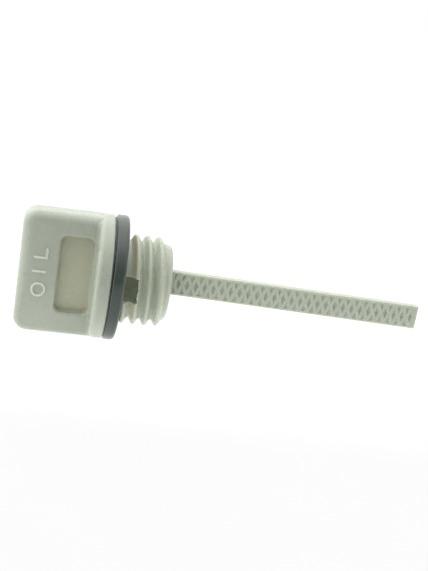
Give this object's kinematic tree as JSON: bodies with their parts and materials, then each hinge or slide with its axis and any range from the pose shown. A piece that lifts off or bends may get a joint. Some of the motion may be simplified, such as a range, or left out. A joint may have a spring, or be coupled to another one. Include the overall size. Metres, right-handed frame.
{
  "type": "oil dipstick cap",
  "caption": "Screw-in oil filler cap with a flat grip, round flange, rubber sealing ring, coarse male thread and a flat gauge blade with a diamond pattern.",
  "frame": {"origin": "on the thread's axis, in the plane where the ring seals against the filler neck", "axes": "+X along the axis towards the blade's tip, -X towards the grip, lettered broad face of the grip towards -Y, narrow side of the grip down (-Z)"},
  "size_m": [0.0903, 0.0274, 0.0274],
  "materials": {
    "nylon": "pale grey-green moulded nylon, satin, slightly translucent",
    "rubber": "dark grey moulded rubber, matt"
  },
  "bodies": {
    "root": {"dipstick_moulding": "nylon", "sealing_ring": "rubber"}
  },
  "joints": []
}
